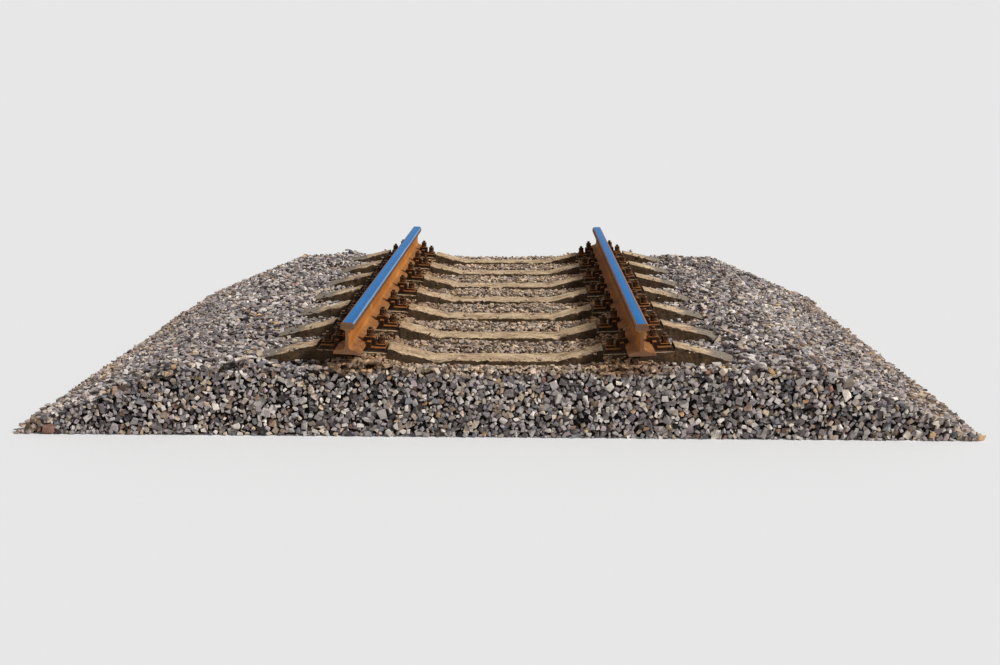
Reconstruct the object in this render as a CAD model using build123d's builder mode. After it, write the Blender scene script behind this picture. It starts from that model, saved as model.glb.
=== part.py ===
from build123d import *
from math import atan, cos, degrees, hypot, radians, sin, sqrt
from random import Random
import os

# A length of single railway track: two rails on concrete sleepers, held by
# screwed clips on ribbed baseplates, bedded in crushed stone.
# Millimetres. X runs across the track, Y along it and Z up.
# The origin is the centre of the underside of the stone bed.

# Track layout
GAUGE = 1520.0
GAUGE_DEPTH = 13.0
RAIL_CANT = 1 / 20
SLEEPER_COUNT = 7
SLEEPER_SPACING = 544.0

# Stone bed, up to the hollows between its main stones
BED_UNDER_SLEEPER = 250.0
CRIB_LEVEL = 120.0
SHOULDER_BEYOND_SLEEPER = 450.0
SIDE_SLOPE_RUN = 2.5

# Main stones, which stand proud of the bed on all sides but the underside
STONE_PITCH = 226.0
STONE_WIDTH = 150.0
STONE_RELIEF = 33.0
STONE_ROOT = 5.0
STONE_SIDE_LEAN = 25.0
STONE_STRAY_SHARE = 0.45
STONE_SHRINK_SHARE = 0.28
STONE_SHAPES = 4
STONE_CORNERS = 5

# Concrete sleeper
SLEEPER_LENGTH = 2700.0
SLEEPER_BASE_WIDTH = 300.0
SLEEPER_WAIST_WIDTH = 260.0
SLEEPER_SIDE_LEAN = 0.31
SLEEPER_END_HEIGHT = 150.0
SLEEPER_WAIST_HEIGHT = 145.0
SLEEPER_WAIST_LENGTH = 700.0
SEAT_HEIGHT = 193.0
SEAT_LENGTH = 404.0
SEAT_STOP_HEIGHT = 25.0
SEAT_STOP_WIDTH = 14.0

# Rail section
RAIL_HEIGHT = 180.0
FOOT_WIDTH = 150.0
FOOT_EDGE_HEIGHT = 10.6
FOOT_RISE_HEIGHT = 29.5
WEB_THICKNESS = 18.0
HEAD_BOTTOM_HEIGHT = 134.2
HEAD_CORNER_HEIGHT = 141.3
HEAD_WIDTH = 75.0
HEAD_TOP_WIDTH = 73.0
CROWN_RADIUS = 500.0
CROWN_WIDTH = 20.0
SHOULDER_RADIUS = 80.0
HEAD_CORNER_RADIUS = 15.0
RAIL_FILLETS = [2.0, 4.0, 25.0, 15.0, 3.0]

# Pads under the plate and under the rail
PLATE_PAD_LENGTH = 390.0
PLATE_PAD_WIDTH = 150.0
PLATE_PAD_THICKNESS = 7.0
RAIL_PAD_THICKNESS = 8.0

# Ribbed baseplate
PLATE_LENGTH = 372.0
PLATE_WIDTH = 140.0
PLATE_THICKNESS = 16.0
PLATE_EDGE_CHAMFER = 3.0
RIB_HEIGHT = 33.0
RIB_THICKNESS = 28.0
RIB_TOP_RADIUS = 5.0
FOOT_CLEARANCE = 1.0

# Clip that bridges the rib from the rail foot to the plate
CLIP_LENGTH = 60.0
CLIP_DECK_THICKNESS = 16.0
CLIP_RIB_CLEARANCE = 3.0
CLIP_TOE_WIDTH = 19.0
CLIP_HEEL_WIDTH = 15.0
CLIP_CORNER_CHAMFER = 8.0
SEAT_GAP = 0.3

# Bolts, nuts and spring washers
BOLT_DIAMETER = 22.0
BOLT_HOLE_DIAMETER = 25.0
BOLT_TIP = 15.0
BOLT_TIP_CHAMFER = 2.5
BOLT_HEAD_HEIGHT = 13.0
BOLT_HEAD_LENGTH = 38.0
NUT_ACROSS_FLATS = 36.0
NUT_HEIGHT = 24.0
NUT_CHAMFER = 2.5
THREAD_CLEARANCE = 0.15
WASHER_DIAMETER = 42.0
WASHER_HEIGHT = 16.0
WASHER_GROOVE = 2.5

# Anchor bolts that hold the plate to the sleeper
ANCHOR_SPACING = 310.0
ANCHOR_HOLE_DIAMETER = 30.0
ANCHOR_DEPTH = 110.0
ANCHOR_END_CLEARANCE = 15.0
SADDLE_LENGTH = 70.0
SADDLE_WIDTH = 54.0
SADDLE_THICKNESS = 8.0
SADDLE_LEG_HEIGHT = 4.0
SADDLE_LEG_LENGTH = 10.0

# Worked out from the sizes above
track_length = SLEEPER_COUNT * SLEEPER_SPACING
tilt = atan(RAIL_CANT)
rail_foot_level = PLATE_PAD_THICKNESS + PLATE_THICKNESS + RAIL_PAD_THICKNESS
plate_bottom_level = PLATE_PAD_THICKNESS
plate_top_level = plate_bottom_level + PLATE_THICKNESS
rib_inner = FOOT_WIDTH / 2 + FOOT_CLEARANCE
rib_outer = rib_inner + RIB_THICKNESS
rib_top_level = plate_top_level + RIB_HEIGHT
rib_root_radius = CLIP_RIB_CLEARANCE - SEAT_GAP
clip_bolt_x = rib_inner + RIB_THICKNESS / 2
clip_deck_bottom = rib_top_level + CLIP_RIB_CLEARANCE
clip_deck_top = clip_deck_bottom + CLIP_DECK_THICKNESS
anchor_x = ANCHOR_SPACING / 2
saddle_top = plate_top_level + SADDLE_LEG_HEIGHT + SADDLE_THICKNESS
anchor_hole_depth = ANCHOR_DEPTH + ANCHOR_END_CLEARANCE

# The head's rounded corner and shoulder arcs meet tangentially
corner_center_x = HEAD_TOP_WIDTH / 2 - HEAD_CORNER_RADIUS
crown_angle = degrees(atan(CROWN_WIDTH / 2 / CROWN_RADIUS))
crown_center_z = RAIL_HEIGHT - CROWN_RADIUS
shoulder_reach = CROWN_RADIUS - SHOULDER_RADIUS
shoulder_center_x = shoulder_reach * sin(atan(CROWN_WIDTH / 2 / CROWN_RADIUS))
shoulder_center_z = crown_center_z + shoulder_reach * cos(atan(CROWN_WIDTH / 2 / CROWN_RADIUS))
corner_run = corner_center_x - shoulder_center_x
corner_rise = sqrt((SHOULDER_RADIUS - HEAD_CORNER_RADIUS) ** 2 - corner_run**2)
corner_center_z = shoulder_center_z + corner_rise
shoulder_angle = degrees(atan(corner_run / corner_rise))

# The seat is placed so that the gauge faces are the gauge apart
gauge_face_level = rail_foot_level + RAIL_HEIGHT - GAUGE_DEPTH
gauge_drop = RAIL_HEIGHT - GAUGE_DEPTH - corner_center_z
gauge_face_x = corner_center_x + sqrt(HEAD_CORNER_RADIUS**2 - gauge_drop**2)
seat_x = GAUGE / 2 + gauge_face_x * cos(tilt) + gauge_face_level * sin(tilt)
inner_stop_x = seat_x - SEAT_LENGTH / 2 * cos(tilt)
outer_stop_x = seat_x + SEAT_LENGTH / 2 * cos(tilt)
inner_stop_height = SEAT_HEIGHT - SEAT_LENGTH / 2 * sin(tilt) + SEAT_STOP_HEIGHT
outer_stop_height = SEAT_HEIGHT + SEAT_LENGTH / 2 * sin(tilt) + SEAT_STOP_HEIGHT
shoulder_x = SLEEPER_LENGTH / 2 + SHOULDER_BEYOND_SLEEPER
bed_height = BED_UNDER_SLEEPER + CRIB_LEVEL
toe_x = shoulder_x + SIDE_SLOPE_RUN * bed_height
slope_length = hypot(toe_x - shoulder_x, bed_height)
slope_tilt = atan(1 / SIDE_SLOPE_RUN)
bed_length = track_length - 2 * STONE_RELIEF
crib_width = SLEEPER_SPACING - SLEEPER_BASE_WIDTH + 2 * SLEEPER_SIDE_LEAN * CRIB_LEVEL

# Places: one per sleeper, one per rail seat and one per side of each seat
sleeper_ys = [(i - (SLEEPER_COUNT - 1) / 2) * SLEEPER_SPACING for i in range(SLEEPER_COUNT)]


def seat_plane(side, y):
    """The rail seat's plane, leaning inwards. side is -1 for left and 1 for right."""
    return Plane(
        origin=(side * seat_x, y, BED_UNDER_SLEEPER + SEAT_HEIGHT),
        x_dir=(cos(tilt), 0, side * sin(tilt)),
        z_dir=(-side * sin(tilt), 0, cos(tilt)),
    )


def seat_places(side):
    """Where each fastening of one rail sits."""
    return [seat_plane(side, y).location for y in sleeper_ys]


def both_sides(side):
    """The same places once for each side of the rail."""
    return [place * Location((0, 0, 0), (0, 0, turn)) for place in seat_places(side) for turn in (0, 180)]


def foot_top(x):
    """Height of the rail foot's upper face above the sleeper seat."""
    rise = FOOT_RISE_HEIGHT - FOOT_EDGE_HEIGHT
    run = FOOT_WIDTH / 2 - WEB_THICKNESS / 2
    return rail_foot_level + FOOT_EDGE_HEIGHT + (FOOT_WIDTH / 2 - x) * rise / run


# Sleeper: a tapered block cut to its side outline, with two inclined seats.
# The plan runs past both ends, so that the side outline cuts them square.
side_outline = [
    (SLEEPER_LENGTH / 2, 0),
    (SLEEPER_LENGTH / 2, SLEEPER_END_HEIGHT),
    (outer_stop_x + SEAT_STOP_WIDTH, outer_stop_height),
    (outer_stop_x, outer_stop_height),
    (inner_stop_x, inner_stop_height),
    (inner_stop_x - SEAT_STOP_WIDTH, inner_stop_height),
    (SLEEPER_WAIST_LENGTH / 2, SLEEPER_WAIST_HEIGHT),
]
mirrored_outline = [(-x, z) for x, z in reversed(side_outline)]
waist_end_x = inner_stop_x - SEAT_STOP_WIDTH
side_plane = Plane((0, SLEEPER_BASE_WIDTH / 2, BED_UNDER_SLEEPER), x_dir=(1, 0, 0), z_dir=(0, -1, 0))
plan_outline = [
    (SLEEPER_LENGTH, SLEEPER_BASE_WIDTH / 2),
    (waist_end_x, SLEEPER_BASE_WIDTH / 2),
    (SLEEPER_WAIST_LENGTH / 2, SLEEPER_WAIST_WIDTH / 2),
    (-SLEEPER_WAIST_LENGTH / 2, SLEEPER_WAIST_WIDTH / 2),
    (-waist_end_x, SLEEPER_BASE_WIDTH / 2),
    (-SLEEPER_LENGTH, SLEEPER_BASE_WIDTH / 2),
]
mirrored_plan = [(x, -y) for x, y in reversed(plan_outline)]

with BuildPart() as sleeper_block:
    with BuildSketch(Plane.XY.offset(BED_UNDER_SLEEPER)):
        with BuildLine():
            Polyline(*plan_outline, *mirrored_plan, close=True)
        make_face()
    extrude(amount=outer_stop_height, taper=degrees(atan(SLEEPER_SIDE_LEAN)))
    with BuildSketch(side_plane):
        with BuildLine():
            Polyline(*side_outline, *mirrored_outline, close=True)
        make_face()
    extrude(amount=SLEEPER_BASE_WIDTH, mode=Mode.INTERSECT)
    for side in (-1, 1):
        with BuildSketch(seat_plane(side, 0)):
            Rectangle(SEAT_LENGTH, SLEEPER_BASE_WIDTH)
        extrude(amount=2 * SEAT_STOP_HEIGHT, mode=Mode.SUBTRACT)

with BuildPart() as sleeper:
    add(sleeper_block.part)
    for side in (-1, 1):
        with BuildSketch(seat_plane(side, 0)):
            with Locations((-anchor_x, 0), (anchor_x, 0)):
                Circle(BOLT_HOLE_DIAMETER / 2)
        extrude(amount=-anchor_hole_depth, mode=Mode.SUBTRACT)

sleepers = {}
for number, y in enumerate(sleeper_ys, start=1):
    with BuildPart() as placed_sleeper:
        with Locations((0, y, 0)):
            add(sleeper.part)
    placed_sleeper.part.label = f"sleeper_{number}"
    sleepers[f"sleeper_{number}"] = placed_sleeper

# Main stones: each field of the bed's surface is divided into squares, one stone to a square
dice = Random(4)
stone_places = []


def spread_stones(plane, width, depth):
    """Places one stone in each square of a field, off its middle and turned at random."""
    columns = round(width / STONE_PITCH)
    rows = round(depth / STONE_PITCH)
    for column in range(columns):
        for row in range(rows):
            stray = STONE_STRAY_SHARE * (min(width / columns, depth / rows) - STONE_WIDTH)
            x = ((column + 0.5) / columns - 0.5) * width + dice.uniform(-stray, stray)
            y = ((row + 0.5) / rows - 0.5) * depth + dice.uniform(-stray, stray)
            stone_places.append(plane.location * Location((x, y, 0), (0, 0, dice.uniform(0, 360))))


for near, far in zip(sleeper_ys, sleeper_ys[1:]):
    spread_stones(Plane((0, (near + far) / 2, bed_height)), SLEEPER_LENGTH, crib_width)
for side in (-1, 1):
    shoulder_middle = side * (SLEEPER_LENGTH / 2 + shoulder_x) / 2
    spread_stones(Plane((shoulder_middle, 0, bed_height)), SHOULDER_BEYOND_SLEEPER, bed_length)
    slope = Plane(
        origin=(side * (shoulder_x + toe_x) / 2, 0, bed_height / 2),
        x_dir=(side * cos(slope_tilt), 0, -sin(slope_tilt)),
        z_dir=(side * sin(slope_tilt), 0, cos(slope_tilt)),
    )
    spread_stones(slope, slope_length, bed_length)
    end_y = side * bed_length / 2
    end_middle = Plane(origin=(0, end_y, bed_height / 2), x_dir=(1, 0, 0), z_dir=(0, side, 0))
    spread_stones(end_middle, 2 * shoulder_x, bed_height)
    for wing in (-1, 1):
        wing_x = wing * (3 * shoulder_x + toe_x) / 4
        end_wing = Plane(origin=(wing_x, end_y, bed_height / 4), x_dir=(1, 0, 0), z_dir=(0, side, 0))
        spread_stones(end_wing, (toe_x - shoulder_x) / 2, bed_height / 2)

with BuildPart() as main_stones:
    for shape in range(STONE_SHAPES):
        corners = []
        for corner in range(STONE_CORNERS):
            angle = radians(corner * 360 / STONE_CORNERS)
            reach = STONE_WIDTH / 2 * (1 - STONE_SHRINK_SHARE * dice.random())
            corners.append((reach * cos(angle), reach * sin(angle)))
        with BuildSketch(Plane.XY.offset(-STONE_ROOT), mode=Mode.PRIVATE) as stone_plan:
            with BuildLine():
                Polyline(*corners, close=True)
            make_face()
        stone = extrude(
            stone_plan.sketch, amount=STONE_ROOT + STONE_RELIEF, taper=STONE_SIDE_LEAN, mode=Mode.PRIVATE)
        with Locations(*stone_places[shape::STONE_SHAPES]):
            add(stone, clean=False)

# Stone bed: the main stones stand on it and the sleepers are sunk into its top
with BuildPart() as ballast_bed:
    with BuildSketch(Plane.XZ.offset(-bed_length / 2)):
        with BuildLine():
            Polyline((-toe_x, 0), (-shoulder_x, bed_height), (shoulder_x, bed_height), (toe_x, 0), close=True)
        make_face()
    extrude(amount=bed_length)
    add(main_stones.part, clean=False)
    with Locations(*[(0, y, 0) for y in sleeper_ys]):
        add(sleeper_block.part, mode=Mode.SUBTRACT)
ballast_bed.part.label = "ballast_bed"

# Rail: wide foot, thin web and a rounded head
with BuildSketch(Plane.XZ) as rail_section:
    with BuildLine():
        head_side = (HEAD_TOP_WIDTH / 2, corner_center_z)
        FilletPolyline(
            (0, 0),
            (FOOT_WIDTH / 2, 0),
            (FOOT_WIDTH / 2, FOOT_EDGE_HEIGHT),
            (WEB_THICKNESS / 2, FOOT_RISE_HEIGHT),
            (WEB_THICKNESS / 2, HEAD_BOTTOM_HEIGHT),
            (HEAD_WIDTH / 2, HEAD_CORNER_HEIGHT),
            head_side,
            radius=RAIL_FILLETS,
        )
        CenterArc((corner_center_x, corner_center_z), HEAD_CORNER_RADIUS, 0, 90 - shoulder_angle)
        CenterArc(
            (shoulder_center_x, shoulder_center_z),
            SHOULDER_RADIUS,
            90 - shoulder_angle,
            shoulder_angle - crown_angle,
        )
        CenterArc((0, crown_center_z), CROWN_RADIUS, 90 - crown_angle, crown_angle)
        mirror(about=Plane.YZ)
    make_face()

rails = {}
for side, name in ((-1, "left"), (1, "right")):
    with BuildPart() as rail:
        rail_plane = seat_plane(side, track_length / 2).offset(rail_foot_level)
        with BuildSketch(Plane(origin=rail_plane.origin, x_dir=rail_plane.x_dir, z_dir=(0, -1, 0))):
            add(rail_section.sketch_local)
        extrude(amount=track_length)
    rail.part.label = f"{name}_rail"
    rails[side] = rail

# Rubber pad between sleeper and plate
with BuildPart() as plate_pad:
    with BuildSketch():
        Rectangle(PLATE_PAD_LENGTH, PLATE_PAD_WIDTH)
        with Locations((-anchor_x, 0), (anchor_x, 0)):
            Circle(ANCHOR_HOLE_DIAMETER / 2, mode=Mode.SUBTRACT)
    extrude(amount=PLATE_PAD_THICKNESS)

# Rubber pad between plate and rail
with BuildPart() as rail_pad:
    with BuildSketch(Plane.XY.offset(plate_top_level)):
        Rectangle(FOOT_WIDTH, PLATE_WIDTH)
    extrude(amount=RAIL_PAD_THICKNESS)

# Baseplate: two ribs with slots for the clip bolts and a hole for each anchor bolt
rib_center_x = (rib_inner + rib_outer) / 2
with BuildPart() as baseplate:
    with BuildSketch(Plane.XZ.offset(-PLATE_WIDTH / 2)) as plate_section:
        with Locations((0, plate_bottom_level + PLATE_THICKNESS / 2)):
            Rectangle(PLATE_LENGTH, PLATE_THICKNESS)
        plate_corners = plate_section.vertices().group_by(Axis.Y)[-1]
        chamfer(plate_corners, PLATE_EDGE_CHAMFER)
        with Locations((-rib_center_x, plate_top_level), (rib_center_x, plate_top_level)):
            Rectangle(RIB_THICKNESS, RIB_HEIGHT, align=(Align.CENTER, Align.MIN))
        rib_tops = plate_section.vertices().group_by(Axis.Y)[-1]
        fillet(rib_tops, RIB_TOP_RADIUS)
        rib_roots = plate_section.vertices().filter_by_position(
            Axis.Y, plate_top_level - SEAT_GAP, plate_top_level + SEAT_GAP
        )
        outer_roots = rib_roots.filter_by(lambda v: abs(abs(v.X) - rib_outer) < SEAT_GAP)
        fillet(outer_roots, rib_root_radius)
    extrude(amount=PLATE_WIDTH)
    head_slot_height = BOLT_HEAD_HEIGHT + 2 * SEAT_GAP
    with BuildSketch(Plane.XY.offset(plate_top_level)):
        with Locations((-rib_center_x, 0), (rib_center_x, 0)):
            Rectangle(RIB_THICKNESS + 2 * rib_root_radius, BOLT_HEAD_LENGTH + 2 * FOOT_CLEARANCE)
    extrude(amount=head_slot_height, mode=Mode.SUBTRACT)
    with BuildSketch(Plane.XY.offset(plate_top_level)):
        with Locations((-rib_center_x, 0), (rib_center_x, 0)):
            Rectangle(RIB_THICKNESS, BOLT_HOLE_DIAMETER)
    extrude(amount=RIB_HEIGHT, mode=Mode.SUBTRACT)
    with BuildSketch(Plane.XY.offset(plate_bottom_level)):
        with Locations((-anchor_x, 0), (anchor_x, 0)):
            Circle(ANCHOR_HOLE_DIAMETER / 2)
    extrude(amount=PLATE_THICKNESS, mode=Mode.SUBTRACT)

# Clip: its toe presses on the rail foot and its heel stands on the plate
toe_inner = rib_inner - CLIP_RIB_CLEARANCE - CLIP_TOE_WIDTH
toe_outer = rib_inner - CLIP_RIB_CLEARANCE
heel_inner = rib_outer + CLIP_RIB_CLEARANCE
heel_outer = heel_inner + CLIP_HEEL_WIDTH
with BuildPart() as clip:
    with BuildSketch(Plane.XZ.offset(-CLIP_LENGTH / 2)) as clip_section:
        with BuildLine():
            Polyline(
                (toe_inner, foot_top(toe_inner) + SEAT_GAP),
                (toe_outer, foot_top(toe_outer) + SEAT_GAP),
                (toe_outer, clip_deck_bottom),
                (heel_inner, clip_deck_bottom),
                (heel_inner, plate_top_level + SEAT_GAP),
                (heel_outer, plate_top_level + SEAT_GAP),
                (heel_outer, clip_deck_top),
                (toe_inner, clip_deck_top),
                close=True,
            )
        make_face()
        chamfer(clip_section.vertices().group_by(Axis.Y)[-1], CLIP_CORNER_CHAMFER)
    extrude(amount=CLIP_LENGTH)
    with Locations((clip_bolt_x, 0, clip_deck_bottom)):
        Hole(BOLT_HOLE_DIAMETER / 2)


def bolt_shank(x, bottom, top):
    """A round bolt standing at x, with a bevelled tip."""
    with BuildPart() as shank:
        with BuildSketch(Plane.XY.offset(bottom)):
            with Locations((x, 0)):
                Circle(BOLT_DIAMETER / 2)
        extrude(amount=top - bottom)
        chamfer(shank.edges().group_by(Axis.Z)[-1], BOLT_TIP_CHAMFER)
    return shank.part


def hex_nut(x, bottom):
    """A six-sided nut with both ends bevelled to a cone."""
    corner_radius = NUT_ACROSS_FLATS / sqrt(3)
    top = bottom + NUT_HEIGHT
    with BuildPart() as nut:
        with BuildSketch(Plane.XY.offset(bottom)):
            with Locations((x, 0)):
                RegularPolygon(corner_radius, 6)
                Circle(BOLT_DIAMETER / 2 + THREAD_CLEARANCE, mode=Mode.SUBTRACT)
        extrude(amount=NUT_HEIGHT)
        with BuildSketch(Plane.XZ):
            with BuildLine():
                Polyline(
                    (x, bottom),
                    (x + corner_radius - NUT_CHAMFER, bottom),
                    (x + corner_radius, bottom + NUT_CHAMFER / 2),
                    (x + corner_radius, top - NUT_CHAMFER / 2),
                    (x + corner_radius - NUT_CHAMFER, top),
                    (x, top),
                    close=True,
                )
            make_face()
        revolve(axis=Axis((x, 0, 0), (0, 0, 1)), mode=Mode.INTERSECT)
    return nut.part


def spring_washer(x, bottom):
    """A washer of two coils, seen as a groove round its rim."""
    inner = BOLT_HOLE_DIAMETER / 2
    outer = WASHER_DIAMETER / 2
    middle = bottom + WASHER_HEIGHT / 2
    with BuildPart() as washer:
        with BuildSketch(Plane.XZ):
            with BuildLine():
                Polyline(
                    (x + inner, bottom),
                    (x + outer, bottom),
                    (x + outer, middle - WASHER_GROOVE / 2),
                    (x + outer - WASHER_GROOVE, middle),
                    (x + outer, middle + WASHER_GROOVE / 2),
                    (x + outer, bottom + WASHER_HEIGHT),
                    (x + inner, bottom + WASHER_HEIGHT),
                    close=True,
                )
            make_face()
        revolve(axis=Axis((x, 0, 0), (0, 0, 1)))
    return washer.part


# Clip bolt with a hammer head that hooks under the rib
clip_nut_bottom = clip_deck_top + WASHER_HEIGHT
clip_bolt_top = clip_nut_bottom + NUT_HEIGHT + BOLT_TIP
with BuildPart() as clip_bolt:
    with BuildSketch(Plane.XY.offset(plate_top_level + SEAT_GAP)):
        with Locations((clip_bolt_x, 0)):
            Rectangle(BOLT_DIAMETER, BOLT_HEAD_LENGTH)
    extrude(amount=BOLT_HEAD_HEIGHT)
    add(bolt_shank(clip_bolt_x, plate_top_level + SEAT_GAP, clip_bolt_top))
clip_washer = spring_washer(clip_bolt_x, clip_deck_top)
clip_nut = hex_nut(clip_bolt_x, clip_nut_bottom)

# Anchor bolt, with a saddle that spreads its load on the plate
anchor_nut_bottom = saddle_top + WASHER_HEIGHT
anchor_bolt = bolt_shank(anchor_x, -ANCHOR_DEPTH, anchor_nut_bottom + NUT_HEIGHT + BOLT_TIP)
anchor_washer = spring_washer(anchor_x, saddle_top)
anchor_nut = hex_nut(anchor_x, anchor_nut_bottom)
leg_y = SADDLE_LENGTH / 2 - SADDLE_LEG_LENGTH / 2
with BuildPart() as saddle:
    with BuildSketch(Plane.XY.offset(plate_top_level)):
        with Locations((anchor_x, -leg_y), (anchor_x, leg_y)):
            Rectangle(SADDLE_WIDTH, SADDLE_LEG_LENGTH)
    extrude(amount=SADDLE_LEG_HEIGHT)
    with BuildSketch(Plane.XY.offset(plate_top_level + SADDLE_LEG_HEIGHT)):
        with Locations((anchor_x, 0)):
            Rectangle(SADDLE_WIDTH, SADDLE_LENGTH)
            Circle(BOLT_HOLE_DIAMETER / 2, mode=Mode.SUBTRACT)
    extrude(amount=SADDLE_THICKNESS)

# Every piece of one rail's fastenings, by the name of its node
os.makedirs("parts", exist_ok=True)
for side, name in ((-1, "left"), (1, "right")):
    one_per_seat = {"plate_pads": plate_pad.part, "rail_pads": rail_pad.part, "baseplates": baseplate.part}
    two_per_seat = {
        "clips": clip.part,
        "clip_bolts": clip_bolt.part,
        "clip_washers": clip_washer,
        "clip_nuts": clip_nut,
        "anchor_saddles": saddle.part,
        "anchor_bolts": anchor_bolt,
        "anchor_washers": anchor_washer,
        "anchor_nuts": anchor_nut,
    }
    for pieces, places in ((one_per_seat, seat_places(side)), (two_per_seat, both_sides(side))):
        for kind, piece in pieces.items():
            with BuildPart() as fastening_row:
                with Locations(*places):
                    add(piece)
            fastening_row.part.label = f"{name}_{kind}"
            export_step(fastening_row.part, f"parts/{name}_{kind}.step")
    export_step(rails[side].part, f"parts/{name}_rail.step")

for label, placed_sleeper in sleepers.items():
    export_step(placed_sleeper.part, f"parts/{label}.step")
export_step(ballast_bed.part, "parts/ballast_bed.step")
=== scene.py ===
import math

import bmesh
import bpy
import numpy as np
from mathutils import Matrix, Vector


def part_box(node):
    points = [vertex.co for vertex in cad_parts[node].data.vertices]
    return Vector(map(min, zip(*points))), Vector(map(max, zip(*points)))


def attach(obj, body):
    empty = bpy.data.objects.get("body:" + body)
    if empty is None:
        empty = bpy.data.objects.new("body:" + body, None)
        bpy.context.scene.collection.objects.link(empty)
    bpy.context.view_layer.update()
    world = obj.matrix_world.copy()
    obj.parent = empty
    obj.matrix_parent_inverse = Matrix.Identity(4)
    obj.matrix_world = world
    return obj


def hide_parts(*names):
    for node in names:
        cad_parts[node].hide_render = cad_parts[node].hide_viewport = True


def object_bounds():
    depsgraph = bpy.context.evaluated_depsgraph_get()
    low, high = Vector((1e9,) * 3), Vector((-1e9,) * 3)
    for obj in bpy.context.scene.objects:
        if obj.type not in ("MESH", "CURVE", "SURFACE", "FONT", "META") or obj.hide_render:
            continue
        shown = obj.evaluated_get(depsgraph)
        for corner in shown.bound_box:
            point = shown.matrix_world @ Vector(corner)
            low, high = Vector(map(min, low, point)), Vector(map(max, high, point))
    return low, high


# A length of railway track in its stone bed. Metres, in the frame's own axes:
# X across the track, Y along it, Z up from the underside of the bed.

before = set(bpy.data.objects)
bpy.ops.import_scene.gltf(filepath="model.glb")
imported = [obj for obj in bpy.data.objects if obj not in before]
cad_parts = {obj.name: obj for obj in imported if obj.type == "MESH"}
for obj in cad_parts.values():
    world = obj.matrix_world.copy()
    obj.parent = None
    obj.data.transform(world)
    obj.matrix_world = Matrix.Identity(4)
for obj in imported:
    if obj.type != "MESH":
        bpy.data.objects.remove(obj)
cad_low, cad_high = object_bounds()

# The viewer's eye, at the height of someone standing between the rails
EYE_ABOVE_RAILS = 1.29
EYE_RIGHT_OF_CENTRE = 0.167
EYE_BEFORE_NEAR_END = 5.6
FRAME_MARGIN = 0.965
SENSOR_WIDTH = 36.0

# Light, as shares of the level at which a colour renders as it is written
KEY_SHARE = 0.68
KEY_DIRECTION = Vector((0.80, -0.24, 0.72)).normalized()
KEY_SOFTNESS = 7.0
FILL_SHARE = 0.32
FLOOR_SHADE = 0.80
FLOOR_SIZE = 160

# Stone bed, measured on its node. Its highest stones stand proud of the level it is filled to.
bed_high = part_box("ballast_bed")[1]
PROUD_STONES = 0.018
BED_TOP = bed_high.z - PROUD_STONES
HALF_LENGTH = bed_high.y
TOE_X = bed_high.x
SHOULDER_X = 1.80
CRIB_X = 0.72
SLEEPER_BOTTOM = 0.25

# Sleeper, with heights above its own underside
SLEEPER_HALF = 1.35
END_HEIGHT = 0.150
WAIST_HEIGHT = 0.145
WAIST_HALF = 0.35
WAIST_BASE_HALF = 0.130
SEAT_BASE_HALF = 0.150
SIDE_LEAN = 0.31
SEAT_X = 0.8065
SEAT_HEIGHT = 0.193
SEAT_HALF = 0.2018
SEAT_SLOPE = 1 / 20
STOP_HEIGHT = 0.025
STOP_WIDTH = 0.014
STOP_EDGE = 0.0005

# Rail section, in its own tilted axes: distances from its middle, heights above the seat
RAIL_X = 0.80595
HEAD_LOWEST = 0.1652
WORN_BOTTOM = 0.1985
WORN_OUTER = 0.0262
WORN_INNER = -0.0262
BAND_INNER = 0.036
BAND_WIDTH = 0.064

# Bolts
THREAD_PITCH = 0.0025

# Loose stones: the height map's cell, the depth of their layer, how far a stone sinks into those
# under it as a share of half its height, and the smallest and largest of each kind
STONE_CELL = 0.006
LAYER_DEPTH = 0.042
STONE_PRESS = 0.30
SHOULDER_STONES = (0.034, 0.080)
CRIB_STONES = (0.020, 0.054)
CRIB_ROCKS = (0.054, 0.084)
GAP_STONES = (0.014, 0.030)
END_STONES = (0.036, 0.084)
END_GAP_STONES = (0.018, 0.034)
END_DEPTH = 0.060
END_ABOVE_BED = 0.020
GRIT_DEPTH = 0.020
CRIB_ROOM = 0.016
SHOULDER_ROOM = 0.022
LOWER_BESIDE_SLEEPERS = 0.016
LESS_ROOM_BESIDE_SLEEPERS = 0.011
KINDS_OF_STONE = 60
SCATTERED_STONES = 620
STONE_LAYER = "stone"

SLEEPER_NAMES = sorted(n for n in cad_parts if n.startswith("sleeper_"))
sleeper_ys = [sum(c.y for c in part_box(n)) / 2 for n in SLEEPER_NAMES]
SEED = 11
rng = np.random.default_rng(SEED)


def srgb(red, green, blue):
    """A colour written as it looks on screen, 0 to 255, as the shader wants it."""
    def linear(c):
        c = c / 255
        return c / 12.92 if c <= 0.04045 else ((c + 0.055) / 1.055) ** 2.4
    return (linear(red), linear(green), linear(blue), 1.0)


# Camera

def add_camera():
    """Stands where the photographer stood and turns to take in the whole part."""
    near = cad_low.y
    eye = Vector((EYE_RIGHT_OF_CENTRE, near - EYE_BEFORE_NEAR_END, cad_high.z + EYE_ABOVE_RAILS))
    left = math.atan2(cad_low.x - eye.x, near - eye.y)
    right = math.atan2(cad_high.x - eye.x, near - eye.y)
    lowest = math.atan2(-eye.z, near - eye.y)
    highest = math.atan2(cad_high.z - eye.z, cad_high.y - eye.y)
    data = bpy.data.cameras.new("camera")
    data.sensor_width = SENSOR_WIDTH
    data.lens = SENSOR_WIDTH / 2 / math.tan((right - left) / 2) / FRAME_MARGIN
    camera = bpy.data.objects.new("camera", data)
    camera.location = eye
    camera.rotation_euler = (math.pi / 2 + (lowest + highest) / 2, 0, -(left + right) / 2)
    bpy.context.scene.collection.objects.link(camera)
    bpy.context.scene.camera = camera


# Node helpers

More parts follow.
